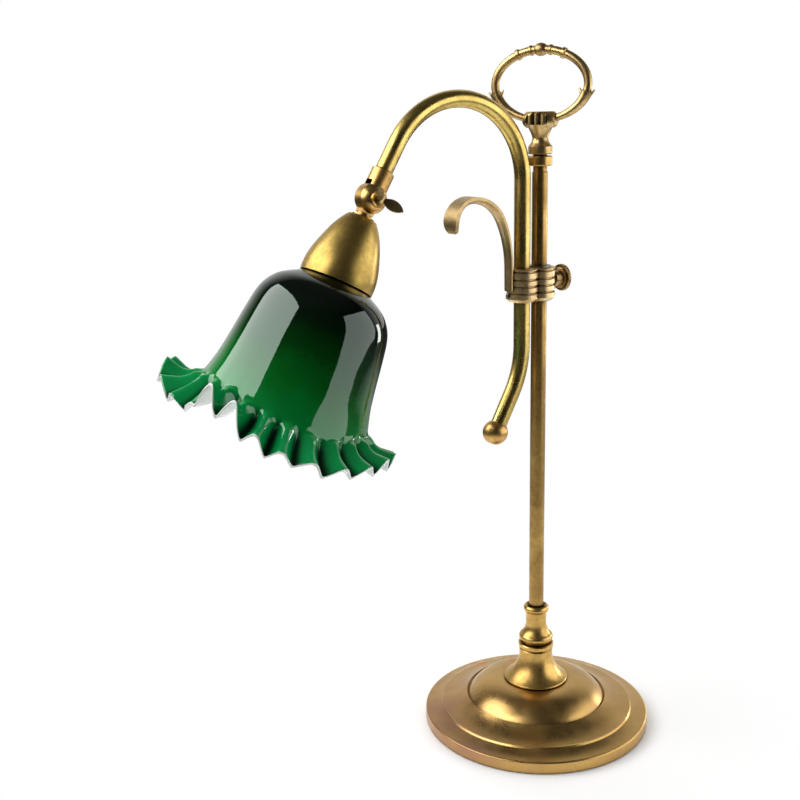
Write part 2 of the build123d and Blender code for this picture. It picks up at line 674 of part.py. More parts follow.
def arm_tube():
    """Swan-neck tube, open at both ends for the cord."""
    tail_cut = Line(TAIL_BEND @ 1, TAIL_RUN @ 1 - TAIL_HEADING * BALL_SOCKET)
    end_run = Line(ARCH_FALL @ 1, FERRULE_AT + ARCH_HEADING * TUBE_SOCKET)
    straight = Line((-ARM_OFFSET, STRAIGHT_LOW_Z), (-ARM_OFFSET, STRAIGHT_TOP_Z))
    pieces = [tail_cut, TAIL_BEND, straight, ARCH_RISE, ARCH_FALL, end_run]
    path = Plane.XZ * Wire(Curve(pieces).edges())
    start = Plane(origin=path @ 0, z_dir=path % 0)
    outer = sweep(start * Circle(TUBE_RADIUS), path=path)
    return outer - sweep(start * Circle(TUBE_RADIUS - TUBE_WALL), path=path)


def arm_ball():
    """Ball on the tail with the cord's outlet in line with the tube."""
    centre = (BALL_AT.X, 0, BALL_AT.Y)
    heading = (TAIL_HEADING.X, 0, TAIL_HEADING.Y)
    from_start = (Align.CENTER, Align.CENTER, Align.MIN)
    ball = Sphere(ARM_BALL_RADIUS)
    ball -= Pos(0, 0, ARM_BALL_RADIUS - 0.8) * Cylinder(ARM_BALL_RADIUS, 4, align=from_start)
    ball -= Cylinder(OUTLET_RADIUS, 2 * ARM_BALL_RADIUS, align=from_start)
    socket = Cylinder(TUBE_RADIUS + RUNNING_GAP, 2 * ARM_BALL_RADIUS, align=from_start)
    ball -= Pos(0, 0, -BALL_SOCKET) * Rot(180, 0, 0) * socket
    ball -= Pos(0, 0, -BALL_SOCKET) * Cylinder(TUBE_RADIUS - TUBE_WALL, BALL_SOCKET, align=from_start)
    return along(centre, heading, ball)


def hook_line():
    """Centre line of the hook from its root on the arm barrel to its curled tip."""
    x = -ARM_OFFSET - BARREL_RADIUS - HOOK_ROOT_THICKNESS / 2
    root = Line((x, HOOK_LOW_Z), (x, HOOK_LOW_Z + HOOK_STRAIGHT))
    rise = JernArc(root @ 1, (0, 1), HOOK_RISE_RADIUS, HOOK_RISE_ANGLE)
    crown = JernArc(rise @ 1, rise % 1, HOOK_CROWN_RADIUS, 90 - HOOK_RISE_ANGLE)
    curl = JernArc(crown @ 1, crown % 1, HOOK_CURL_RADIUS, HOOK_CURL_ANGLE)
    return Plane.XZ * Wire(Curve([root, rise, crown, curl]).edges())


def hook_section(line, share):
    """Section of the hook, flat inside and domed outside, at a share of its length."""
    nose = max(0.0, share - HOOK_NOSE) / (1 - HOOK_NOSE)
    rounding = (1 - nose ** 2) ** 0.5
    width = HOOK_ROOT_WIDTH + (HOOK_TIP_WIDTH - HOOK_ROOT_WIDTH) * share ** 1.5
    thickness = HOOK_ROOT_THICKNESS + (HOOK_TIP_THICKNESS - HOOK_ROOT_THICKNESS) * share ** 1.5
    width *= rounding
    thickness *= 0.3 + 0.7 * rounding
    edge = thickness * 0.45
    half = width / 2
    low = -thickness / 2
    outline = Curve([
        Line((-half, low), (half, low)),
        Line((half, low), (half, low + edge)),
        ThreePointArc((half, low + edge), (0, thickness / 2), (-half, low + edge)),
        Line((-half, low + edge), (-half, low)),
    ])
    place = Plane(origin=line @ share, x_dir=(0, 1, 0), z_dir=line % share)
    return place * make_face(outline)


def hook():
    """Hook that widens and thickens towards its rounded tip."""
    line = hook_line()
    shares = [index / HOOK_STATIONS for index in range(HOOK_STATIONS)]
    return loft([hook_section(line, share) for share in (*shares, *HOOK_NOSE_SHARES)])


def knuckle_fork():
    """Ferrule and slotted ball, drawn with the ferrule on +Z and the slot open below."""
    from_start = (Align.CENTER, Align.CENTER, Align.MIN)
    ferrule = Cylinder(FERRULE_RADIUS, FERRULE_REACH, align=from_start)
    ferrule = chamfer(ferrule.edges().filter_by(GeomType.CIRCLE).sort_by(Axis.Z)[-1], 0.9)
    boss = along((0, 0, 0), (0, -1, 0), Cylinder(BOSS_RADIUS, BOSS_REACH, align=from_start))
    fork = Sphere(KNUCKLE_RADIUS).fuse(ferrule, boss)
    slot_depth = SLOT_ROOF + 2 * KNUCKLE_RADIUS
    slot = Pos(0, 0, SLOT_ROOF) * Box(
        4 * KNUCKLE_RADIUS, SLOT_WIDTH, slot_depth, align=(Align.CENTER, Align.CENTER, Align.MAX)
    )
    socket = Pos(0, 0, FERRULE_REACH - TUBE_SOCKET) * Cylinder(
        TUBE_RADIUS + RUNNING_GAP, TUBE_SOCKET + 1, align=from_start
    )
    pin_hole = along((0, -2 * KNUCKLE_RADIUS, 0), (0, 1, 0),
                     Cylinder(PIN_RADIUS + RUNNING_GAP, 4 * KNUCKLE_RADIUS, align=from_start))
    wire_way = Cylinder(WIRE_WAY_RADIUS, FERRULE_REACH, align=from_start)
    fork = fork - slot - socket - pin_hole - wire_way
    return Pos(*PIVOT) * Rot(0, 90 - ARCH_FALL_ANGLE, 0) * fork


def wing_screw():
    """Screw across the knuckle with two leaf-shaped wings that flare away from it."""
    head = BOSS_REACH + SEAT_GAP
    end = head + WING_HUB_LENGTH
    tip = -KNUCKLE_RADIUS + 1.6
    shank = turned_polygon(
        (0, tip),
        (PIN_RADIUS, tip),
        (PIN_RADIUS, head),
        (WING_HUB_RADIUS, head),
        (WING_HUB_RADIUS, end - 0.8),
        (WING_HUB_RADIUS - 0.8, end),
        (0, end),
    )
    leaf = make_face(Curve([
        ThreePointArc((0.6, 0), (WING_REACH * 0.5, WING_HALF_WIDTH), (WING_REACH, 0)),
        ThreePointArc((WING_REACH, 0), (WING_REACH * 0.5, -WING_HALF_WIDTH), (0.6, 0)),
    ]))
    wing = extrude(leaf, WING_THICKNESS / 2, both=True)
    wing = Pos(0, 0, end - WING_THICKNESS) * Rot(0, -WING_FLARE, 0) * wing
    screw = shank.fuse(wing, Rot(0, 0, 180) * wing)
    return Pos(*PIVOT) * Rot(90, 0, 0) * Rot(0, 0, -WING_TURN) * screw


# Shade, drawn hanging down the Z axis from the hinge pin and tilted at the end

def hung(shape):
    """Tilt a shape made under the hinge pin to the shade's resting angle."""
    return Pos(*PIVOT) * Rot(0, SHADE_TILT, 0) * shape


def down(depth):
    """Height of a depth measured from the top of the cap."""
    return -CAP_TOP - depth


def knuckle_tongue():
    """Round-ended tongue, neck, flange and stub, bored for the pin and the cord."""
    from_start = (Align.CENTER, Align.CENTER, Align.MIN)
    eye = along((0, -TONGUE_THICKNESS / 2, 0), (0, 1, 0),
                Cylinder(TONGUE_RADIUS, TONGUE_THICKNESS, align=from_start))
    plate = Box(2 * NECK_RADIUS, TONGUE_THICKNESS, NECK_START,
                align=(Align.CENTER, Align.CENTER, Align.MAX))
    neck = ring(NECK_RADIUS, 0.01, -CAP_TOP, -NECK_START)
    flange = ring(FLANGE_RADIUS, 0.01, -CAP_TOP, -FLANGE_START)
    stub = ring(STUB_RADIUS, 0.01, down(STUB_LENGTH), -CAP_TOP)
    tongue = eye.fuse(plate, neck, flange, stub)
    pin_hole = along((0, -TONGUE_THICKNESS, 0), (0, 1, 0),
                     Cylinder(PIN_RADIUS + RUNNING_GAP, 2 * TONGUE_THICKNESS, align=from_start))
    wire_way = Pos(0, 0, -PIN_RADIUS - 1.6) * Cylinder(
        WIRE_WAY_RADIUS, 2 * CAP_TOP, align=(Align.CENTER, Align.CENTER, Align.MAX)
    )
    return hung(tongue - pin_hole - wire_way)


def cap_edge(inset):
    """Outer line of the cap from shoulder to rim, drawn inset for the inside."""
    shoulder = (CAP_SHOULDER_RADIUS - inset * 0.6, down(inset))
    flank = (CAP_RIM_RADIUS * 0.815 - inset, down(CAP_LENGTH * 0.43))
    belly = (CAP_RIM_RADIUS + 0.25 - inset, down(CAP_LENGTH * 0.88))
    rim = (CAP_RIM_RADIUS - inset, down(CAP_LENGTH))
    return Spline(shoulder, (15.5 - inset, down(9.0)), flank, belly, rim)


def shade_cap():
    """Bullet-shaped cover of even wall, open below and bored for the stub."""
    bore = STUB_RADIUS + RUNNING_GAP
    outside = cap_edge(0)
    inside = cap_edge(CAP_WALL)
    return hung(turned(
        Line((bore, down(0)), outside @ 0),
        outside,
        Line(outside @ 1, inside @ 1),
        inside,
        Line(inside @ 0, (bore, down(CAP_WALL))),
        Line((bore, down(CAP_WALL)), (bore, down(0))),
    ))


def lampholder():
    """Holder shell with a closed top, a bore for the stub and a flange for the glass."""
    inner = HOLDER_RADIUS - HOLDER_WALL
    bore = STUB_RADIUS + RUNNING_GAP
    flange_top = down(HOLDER_FLANGE_AT)
    flange_low = down(HOLDER_FLANGE_AT + HOLDER_FLANGE_THICKNESS)
    return hung(turned_polygon(
        (bore, down(HOLDER_TOP)),
        (HOLDER_RADIUS - 4.0, down(HOLDER_TOP)),
        (HOLDER_RADIUS, down(HOLDER_TOP + 7.0)),
        (HOLDER_RADIUS, flange_top),
        (HOLDER_FLANGE_RADIUS, flange_top),
        (HOLDER_FLANGE_RADIUS, flange_low),
        (HOLDER_RADIUS, flange_low),
        (HOLDER_RADIUS, down(HOLDER_TOP + HOLDER_LENGTH)),
        (inner, down(HOLDER_TOP + HOLDER_LENGTH)),
        (inner, down(HOLDER_TOP + 7.4)),
        (HOLDER_RADIUS - 4.4, down(HOLDER_TOP + 3.0)),
        (bore, down(HOLDER_TOP + 3.0)),
    ))


def lampholder_insert():
    """Ceramic block that carries the contacts above the bulb."""
    start = HOLDER_TOP + 3.4
    top_radius = HOLDER_RADIUS - 5.2
    low_radius = HOLDER_RADIUS - HOLDER_WALL - SEAT_GAP
    return hung(turned_polygon(
        (2.0, down(start)),
        (top_radius, down(start)),
        (low_radius, down(start + 4.4)),
        (low_radius, down(start + INSERT_LENGTH)),
        (2.0, down(start + INSERT_LENGTH)),
    ))


GLASS_TOP_AT = HOLDER_FLANGE_AT + HOLDER_FLANGE_THICKNESS + SEAT_GAP
RING_AT = GLASS_TOP_AT + GLASS_WALL + SEAT_GAP
BULB_CAP_AT = HOLDER_TOP + 3.4 + INSERT_LENGTH + SEAT_GAP
BULB_AT = BULB_CAP_AT + BULB_CAP_LENGTH


def shade_ring():
    """Ring on the holder's outer thread that grips the glass from below."""
    bore = HOLDER_RADIUS + RUNNING_GAP
    return hung(ring(RING_RADIUS - GLASS_WALL, bore, down(RING_AT + RING_HEIGHT), down(RING_AT)))


def bell_line(inset):
    """Bell from the neck to the mouth, drawn inset for the inside."""
    neck_end = (GLASS_NECK_RADIUS - inset, down(CAP_LENGTH - 1.2))
    through = [
        (GLASS_MOUTH_RADIUS * wide - inset, down(GLASS_MOUTH_AT * deep + inset * (1 - wide) * 2))
        for deep, wide in BELL_STATIONS
    ]
    mouth = (GLASS_MOUTH_RADIUS - inset, down(GLASS_MOUTH_AT))
    return Spline(neck_end, *through, mouth, tangents=[(0.35, -0.94), (0.27, -0.96)])


def glass_bell():
    """Blown bell with an inturned top and an even wall, cut off flat at the mouth."""
    outside = bell_line(0)
    inside = bell_line(GLASS_WALL)
    lip = GLASS_TOP_AT + GLASS_WALL
    neck_in = GLASS_NECK_RADIUS - GLASS_WALL
    return turned(
        Line((GLASS_HOLE_RADIUS, down(GLASS_TOP_AT)), (GLASS_NECK_RADIUS, down(GLASS_TOP_AT))),
        Line((GLASS_NECK_RADIUS, down(GLASS_TOP_AT)), outside @ 0),
        outside,
        Line(outside @ 1, inside @ 1),
        inside,
        Line(inside @ 0, (neck_in, down(lip))),
        Line((neck_in, down(lip)), (GLASS_HOLE_RADIUS, down(lip))),
        Line((GLASS_HOLE_RADIUS, down(lip)), (GLASS_HOLE_RADIUS, down(GLASS_TOP_AT))),
    )


def frill_section(azimuth):
    """Corners of the frill's wall at an azimuth, from its root in the bell out to the rim."""
    side = cos(2 * radians(azimuth - FRILL_BROAD_SIDE))
    lean = FRILL_LEAN + FRILL_LEAN_SWING * side
    step = (FRILL_LENGTH + FRILL_DROOP * (1 - side)) / FRILL_ROWS
    wave = cos(radians(PLEATS * azimuth))
    radius = GLASS_MOUTH_RADIUS - (GLASS_WALL - FRILL_WALL) / 2
    depth = GLASS_MOUTH_AT
    outside = [(radius - 0.2 * FRILL_ROOT, depth - FRILL_ROOT)]
    inside = [(outside[0][0] - FRILL_WALL, outside[0][1])]
    for row in range(FRILL_ROWS + 1):
        share = row / FRILL_ROWS
        angle = radians(FRILL_START_LEAN + (lean - FRILL_START_LEAN) * min(1.0, 1.35 * share))
        if row:
            radius += step * sin(angle)
            depth += step * cos(angle)
        push = PLEAT_DEPTH * wave * min(1.0, share / PLEAT_FOOT) * (0.6 + 0.4 * share) * (row > 0)
        outer = (radius + push * cos(angle), depth - push * sin(angle))
        outside.append(outer)
        inside.append((outer[0] - FRILL_WALL * cos(angle), outer[1] + FRILL_WALL * sin(angle)))
    turn = radians(azimuth)
    return [(r * cos(turn), r * sin(turn), down(at)) for r, at in outside + inside[::-1]]


def frill():
    """Pleated rim as one closed skin of triangles over the wall's sections."""
    count = PLEATS * PLEAT_STEPS
    sections = [frill_section(360.0 * index / count) for index in range(count)]
    triangles = []
    for index, here in enumerate(sections):
        there = sections[(index + 1) % count]
        for corner in range(len(here)):
            after = (corner + 1) % len(here)
            triangles.append((here[corner], here[after], there[after]))
            triangles.append((here[corner], there[after], there[corner]))
    faces = [Face(Wire.make_polygon(triangle)) for triangle in triangles]
    return Solid(Shell(faces))


def glass_shade():
    """Bell and pleated frill in one piece of glass."""
    return hung(glass_bell().fuse(frill()))


def bulb_cap():
    """Thin screw cap of the bulb, open below for the glass."""
    end = down(BULB_AT)
    inner = BULB_CAP_RADIUS - BULB_CAP_WALL
    return hung(turned_polygon(
        (0, down(BULB_CAP_AT)),
        (4.5, down(BULB_CAP_AT)),
        (BULB_CAP_RADIUS, down(BULB_CAP_AT + 4.0)),
        (BULB_CAP_RADIUS, end),
        (inner, end),
        (inner, down(BULB_CAP_AT + 4.0 + BULB_CAP_WALL)),
        (4.5 - BULB_CAP_WALL, down(BULB_CAP_AT + 2 * BULB_CAP_WALL)),
        (0, down(BULB_CAP_AT + 2 * BULB_CAP_WALL)),
    ))


def bulb_glass():
    """Thin round bulb on a short open neck that sits in the cap."""
    centre = down(BULB_AT + BULB_LENGTH - BULB_RADIUS)
    neck_top = down(BULB_AT - BULB_NECK_GRIP)
    outside = bulb_edges(0, centre, neck_top)
    inside = bulb_edges(BULB_WALL, centre, neck_top)
    return hung(turned(
        *outside,
        Line(outside[-1] @ 1, inside[-1] @ 1),
        *inside,
        Line(inside[0] @ 0, outside[0] @ 0),
    ))


def bulb_edges(inset, centre, neck_top):
    """Outline of the bulb from its neck to its pole, drawn inset for the inside."""
    radius = BULB_RADIUS - inset
    neck = BULB_NECK_RADIUS - inset
    side = at_radius(30.0, radius)
    join = (side[0], centre + side[1])
    low = (side[0], centre - side[1])
    quarter = at_radius(-60.0, radius)
    return [
        Line((neck, neck_top), (neck, down(BULB_AT))),
        Spline((neck, down(BULB_AT)), join, tangents=[(0.1, -1.0), (0.5, -0.866)]),
        ThreePointArc(join, (radius, centre), low),
        ThreePointArc(low, (quarter[0], centre + quarter[1]), (0, centre - radius)),
    ]


PARTS = [
    base_felt, base_washer, base_nut, tie_rod, base_weight, base_plate,
    pedestal, stem_ferrule, stem, lock_collar, handle_yoke, handle_bow,
    slider_liner,
    clamp_body, hook, arm_set_screw, arm_tube, arm_ball, knuckle_fork,
    thumbscrew, wing_screw,
    knuckle_tongue, shade_cap, lampholder, lampholder_insert, shade_ring, glass_shade,
    bulb_cap, bulb_glass,
]

os.makedirs("parts", exist_ok=True)
for make in PARTS:
    export_step(make(), f"parts/{make.__name__}.step")
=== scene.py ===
from math import atan2, cos, degrees, pi, radians, sin

import bpy
from mathutils import Matrix, Vector

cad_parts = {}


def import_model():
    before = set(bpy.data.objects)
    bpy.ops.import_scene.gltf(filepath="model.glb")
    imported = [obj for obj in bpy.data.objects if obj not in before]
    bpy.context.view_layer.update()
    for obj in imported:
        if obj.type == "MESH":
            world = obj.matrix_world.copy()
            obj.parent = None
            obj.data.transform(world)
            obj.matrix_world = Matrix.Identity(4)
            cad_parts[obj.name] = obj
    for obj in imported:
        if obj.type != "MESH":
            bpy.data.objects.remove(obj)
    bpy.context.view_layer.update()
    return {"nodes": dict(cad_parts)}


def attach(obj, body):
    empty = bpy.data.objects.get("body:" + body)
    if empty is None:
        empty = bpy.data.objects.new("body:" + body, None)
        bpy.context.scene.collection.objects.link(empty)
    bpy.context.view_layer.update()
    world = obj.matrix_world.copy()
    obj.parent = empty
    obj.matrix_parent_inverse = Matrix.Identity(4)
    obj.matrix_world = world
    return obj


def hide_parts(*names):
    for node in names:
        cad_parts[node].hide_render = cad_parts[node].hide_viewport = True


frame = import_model()
MM = 0.001

# Hinge pin of the shade in the shared frame, in millimetres, and the shade's tilt

PIVOT = (-138.578, 0.0, 405.629)
SHADE_TILT = radians(28.4)

# Glass, in millimetres: CAP_TOP is down the axis from the hinge pin, other depths from the cap's top

CAP_TOP = 14.0
GLASS_TOP = 33.1
GLASS_WALL = 3.0
GLASS_NECK = 21.9
GLASS_HOLE = 15.9
MOUTH_AT = 122.0
MOUTH_RADIUS = 54.5
MOUTH_LEAN = radians(16)
SAG_FROM = 58.0  # the bell sags from here down to the mouth
SAG_CURVE = 1.5  # power by which the sag grows on the way
FRILL_BEND = 1.35  # the frill reaches its full lean this many times sooner than its rim
RIM_THINNING = 0.35  # share of the wall lost at the rim
BELL_STEPS = 46
FRILL_STEPS = 20

# Outline of the bell from neck to mouth: radius and depth

BELL = [
    (GLASS_NECK, GLASS_TOP), (GLASS_NECK, 42.0), (24.6, 45.3), (30.5, 48.6), (36.6, 52.9),
    (41.6, 59.6), (44.4, 67.0), (46.6, 80.0), (48.8, 96.0), (51.2, 110.0), (MOUTH_RADIUS, MOUTH_AT),
]

# Frill round the rim: azimuth and lean from the axis in degrees, sag of the mouth and length of the frill

FLARE = [
    (-180, 34, 4, 28), (-171, 32, 5, 27), (-163, 66, 6, 25), (-156, 98, 6.5, 24),
    (-149, 72, 8.5, 24), (-142, 96, 10, 24), (-133, 56, 11.5, 25), (-118, 46, 13, 26),
    (-90, 58, 14, 26), (-70, 68, 10, 26), (-55, 84, 5.5, 26), (-30, 94, 1, 26),
    (0, 76, 0, 28), (28, 54, 0, 31), (60, 46, 0, 32), (92, 60, 0, 30), (114, 84, 0, 29),
    (128, 106, 0.5, 30.5), (142, 110, 1.5, 31), (153, 86, 3, 30), (166, 56, 4, 29),
    (180, 34, 4, 28),
]

# Pleats of the frill

PLEATS = 26
PLEAT_STEPS = 14  # points across a pleat
PLEAT_DEPTH = 4.6  # millimetres from the middle of the wave to a crest
PLEAT_FOOT = 0.22  # share of the frill over which they rise out of the smooth bell
PLEAT_AT_MOUTH = 0.6  # height towards the mouth, as a share of the height at the rim
PLEAT_PINCH = 0.35  # narrows the crests and widens the valleys
CREST_POWER = 0.44  # a lower power makes broader crests and sharper valleys
VALLEY_ROUNDING = 0.006  # takes the crease out of the valleys
VALLEY_SHADE = 0.4  # painted shade darkens the pleat valleys below this height of the wave
SHADE_GAIN = 3  # how soon down the frill the painted shade is full

# Unevenness of the pleats: waves round the rim, strength and start in radians

SPACING_WAVES = [(3, 0.35, 0.7), (7, 0.22, 2.1), (1, -2.2, radians(100))]
HEIGHT_WAVES = [(5, 0.16, 0.4), (11, 0.08, 0.0)]

# Places on the base, in degrees from +X: its pinkish side and its orange streak

PINK_SIDE = 160.0
STREAK_SIDE = 92.0

# Shared colours: grime and painted shade in the grooves of turned and of cast brass, and black

BRASS_DIRT_AND_SHADE = (0.070, 0.044, 0.018)
CAST_DIRT_AND_SHADE = (0.035, 0.024, 0.014)
BLACK = (0.0, 0.0, 0.0)

# Camera at the photograph's standpoint: millimetres, degrees and pixels

CAMERA_TURN = 40.0
CAMERA_DISTANCE = 818.4
CAMERA_HEIGHT = 456.8
CAMERA_YAW = 7.05
CAMERA_PITCH = 13.945
CAMERA_ROLL = 1.2
FOCAL_PIXELS = 1150.0
PHOTO_PIXELS = 800.0
SENSOR_WIDTH = 36.0

# Studio: directions in degrees from +X

VIEWER = 180 + 90 - CAMERA_TURN
SWEEP_SIDE = 50.0
SWEEP_COLOUR = (0.80, 0.80, 0.79)
ROOM_LEVEL = 0.012
CEILING_LEVEL = 0.06
LIGHT_AIM = (-70, 0, 250)  # millimetres, about the middle of the lamp
FLOOR_HALF = 4000.0  # millimetres
FLOOR_WHITENS = (0.16, 0.34)  # metres from the axis between which it turns white to the camera
FLOOR_DARKENS = (0.42, 0.85)  # metres from the axis between which it turns dark to other rays
FLOOR_PALE = 0.95
FLOOR_DARK = 0.04


# Kit for materials

def new_material(name):
    """New material with its node tree and its main shader."""
    material = bpy.data.materials.new(name)
    material.use_nodes = True
    tree = material.node_tree
    shader = tree.nodes["Principled BSDF"]
    return material, tree, shader


def add(tree, kind, **values):
    """New node with properties or unlinked inputs set by name."""
    node = tree.nodes.new(kind)
    for key, value in values.items():
        if hasattr(node, key):
            setattr(node, key, value)
        else:
            node.inputs[key.replace("_", " ")].default_value = value
    return node


def noise(tree, scale, detail=4.0, stretch=(1, 1, 1)):
    """Noise in the part's own coordinates, in cycles per metre."""
    place = tree.nodes.new("ShaderNodeTexCoord")
    mapping = tree.nodes.new("ShaderNodeMapping")
    mapping.inputs["Scale"].default_value = stretch
    tree.links.new(place.outputs["Object"], mapping.inputs["Vector"])
    node = tree.nodes.new("ShaderNodeTexNoise")
    node.inputs["Scale"].default_value = scale
    node.inputs["Detail"].default_value = detail
    node.inputs["Roughness"].default_value = 0.55
    tree.links.new(mapping.outputs["Vector"], node.inputs["Vector"])
    return node.outputs["Fac"]


def ramp(tree, source, stops):
    """Colour ramp on a value; stops are positions with a colour or a grey level."""
    node = tree.nodes.new("ShaderNodeValToRGB")
    elements = node.color_ramp.elements
    while len(elements) < len(stops):
        elements.new(0.5)
    for element, (position, colour) in zip(elements, stops):
        element.position = position
        if not isinstance(colour, tuple):
            colour = (colour, colour, colour)
        element.color = (*colour, 1)
    tree.links.new(source, node.inputs["Fac"])
    return node.outputs["Color"]


def mix(tree, factor, first, second):
    """Colour mix; factor, first and second are sockets, colours or numbers."""
    node = tree.nodes.new("ShaderNodeMix")
    node.data_type = "RGBA"
    for socket, value in ((0, factor), (6, first), (7, second)):
        if isinstance(value, tuple):
            node.inputs[socket].default_value = (*value, 1)
        elif isinstance(value, (int, float)) and socket:
            node.inputs[socket].default_value = (value, value, value, 1)
        elif isinstance(value, (int, float)):
            node.inputs[socket].default_value = value
        else:
            tree.links.new(value, node.inputs[socket])
    return node.outputs[2]


def patches(tree, scale, detail, low, high):
    """Mask of noisy patches, 0 below the low level of the noise and 1 above the high one."""
    return ramp(tree, noise(tree, scale, detail), [(low, 0.0), (high, 1.0)])


def faded(tree, mask, share):
    """Mask at a share of its strength."""
    return mix(tree, share, BLACK, mask)


def crevice_shade(tree, distance):
    """Occlusion value that falls towards 0 in grooves and corners, where grime and painted shade go."""
    node = tree.nodes.new("ShaderNodeAmbientOcclusion")
    node.samples = 8
    node.inputs["Distance"].default_value = distance
    return ramp(tree, node.outputs["AO"], [(0.35, 0.0), (0.9, 1.0)])


def bump(tree, shader, height, strength, distance):
    """Bump from a value socket, its distance in metres."""
    node = tree.nodes.new("ShaderNodeBump")
    node.inputs["Strength"].default_value = strength
    node.inputs["Distance"].default_value = distance
    tree.links.new(height, node.inputs["Height"])
    tree.links.new(node.outputs["Normal"], shader.inputs["Normal"])


def side_mask(tree, azimuth, low, high, ragged=0.0, across=False):
    """Mask from the distance along, or across, a line from the axis at an azimuth, in metres."""
    place = tree.nodes.new("ShaderNodeTexCoord")
    reach = add(tree, "ShaderNodeVectorMath", operation="DOT_PRODUCT")
    tree.links.new(place.outputs["Object"], reach.inputs[0])
    turn = radians(azimuth + (90 if across else 0))
    reach.inputs[1].default_value = (cos(turn), sin(turn), 0.0)
    wander = add(tree, "ShaderNodeMath", operation="MULTIPLY_ADD")
    tree.links.new(noise(tree, 60), wander.inputs[0])
    wander.inputs[1].default_value = ragged
    tree.links.new(reach.outputs["Value"], wander.inputs[2])
    value = wander.outputs[0]
    if across:
        size = add(tree, "ShaderNodeMath", operation="ABSOLUTE")
        tree.links.new(value, size.inputs[0])
        value = size.outputs[0]
    scaled = add(tree, "ShaderNodeMapRange")
    tree.links.new(value, scaled.inputs["Value"])
    scaled.inputs["From Min"].default_value = low
    scaled.inputs["From Max"].default_value = high
    return scaled.outputs["Result"]


def both(tree, first, second):
    """Product of two masks."""
    node = add(tree, "ShaderNodeMath", operation="MULTIPLY")
    tree.links.new(first, node.inputs[0])
    tree.links.new(second, node.inputs[1])
    return node.outputs[0]


# Materials of the metal and the small parts

def brass(name, light, deep, dirt_and_shade=BRASS_DIRT_AND_SHADE, rough=(0.26, 0.42), groove=0.003):
    """Aged polished brass: light where rubbed, deeper in patches, with grime and painted shade in
    grooves.
    """
    material, tree, shader = new_material(name)
    worn = patches(tree, scale=45, detail=6, low=0.36, high=0.66)
    fine = patches(tree, scale=420, detail=5, low=0.42, high=0.62)
    pits = patches(tree, scale=700, detail=2, low=0.66, high=0.76)
    colour = mix(tree, worn, light, deep)
    colour = mix(tree, 0.14, colour, mix(tree, fine, light, dirt_and_shade))
    colour = mix(tree, faded(tree, pits, 0.35), colour, dirt_and_shade)
    # Grooves and corners go towards the grime colour by occlusion: partly grime, partly painted shade.
    colour = mix(tree, crevice_shade(tree, groove), dirt_and_shade, colour)
    tree.links.new(colour, shader.inputs["Base Color"])
    lines = noise(tree, 260, 3, stretch=(1.0, 1.0, 0.06))
    wear = ramp(tree, mix(tree, 0.5, worn, lines), [(0.2, rough[0]), (0.8, rough[1])])
    tree.links.new(wear, shader.inputs["Roughness"])
    shader.inputs["Metallic"].default_value = 1.0
    bump(tree, shader, noise(tree, 500, 2), 0.035, 0.0004)
    return material


def plain(name, colour, rough, metallic=0.0, grain=300, depth=0.1):
    """Plain finish with a fine grain in colour, roughness and height."""
    material, tree, shader = new_material(name)
    grains = noise(tree, grain, 5)
    darker = tuple(value * 0.72 for value in colour)
    tint = mix(tree, ramp(tree, grains, [(0.3, 0.0), (0.7, 1.0)]), darker, colour)
    tree.links.new(tint, shader.inputs["Base Color"])
    gloss = ramp(tree, grains, [(0.3, rough * 0.85), (0.7, min(rough * 1.15, 1.0))])
    tree.links.new(gloss, shader.inputs["Roughness"])
    shader.inputs["Metallic"].default_value = metallic
    bump(tree, shader, grains, depth, 0.0004)
    return material


def base_material():
    """Spun base: gold with a pinkish side, an orange streak, a few stains, and grime and painted shade in
    its grooves.
    """
    material, tree, shader = new_material("base_patina")
    clouds = patches(tree, scale=26, detail=6, low=0.36, high=0.66)
    streaks = patches(tree, scale=70, detail=5, low=0.4, high=0.7)
    specks = patches(tree, scale=500, detail=2, low=0.66, high=0.76)
    colour = mix(tree, clouds, (0.60, 0.37, 0.12), (0.50, 0.30, 0.105))
    colour = mix(tree, faded(tree, streaks, 0.5), colour, (0.64, 0.42, 0.135))
    pink = both(tree, side_mask(tree, PINK_SIDE, 0.025, 0.085, ragged=0.02), clouds)
    colour = mix(tree, pink, colour, (0.46, 0.25, 0.15))
    rust = both(tree, side_mask(tree, STREAK_SIDE, 0.0044, 0.0016, ragged=0.008, across=True),
                side_mask(tree, STREAK_SIDE, 0.022, 0.034))
    colour = mix(tree, rust, colour, (0.66, 0.27, 0.03))
    colour = mix(tree, faded(tree, specks, 0.3), colour, (0.22, 0.13, 0.07))
    # Grooves go dark brown by occlusion: partly grime, partly painted shade.
    colour = mix(tree, crevice_shade(tree, 0.003), (0.14, 0.08, 0.035), colour)
    tree.links.new(colour, shader.inputs["Base Color"])
    wear = ramp(tree, mix(tree, 0.5, clouds, streaks), [(0.1, 0.26), (0.9, 0.42)])
    tree.links.new(wear, shader.inputs["Roughness"])
    shader.inputs["Metallic"].default_value = 1.0
    bump(tree, shader, noise(tree, 240, 3), 0.04, 0.0006)
    return material


def dress(nodes, material):
    """Give CAD nodes a material."""
    for name in nodes:
        for slot in frame["nodes"][name].material_slots:
            slot.material = material


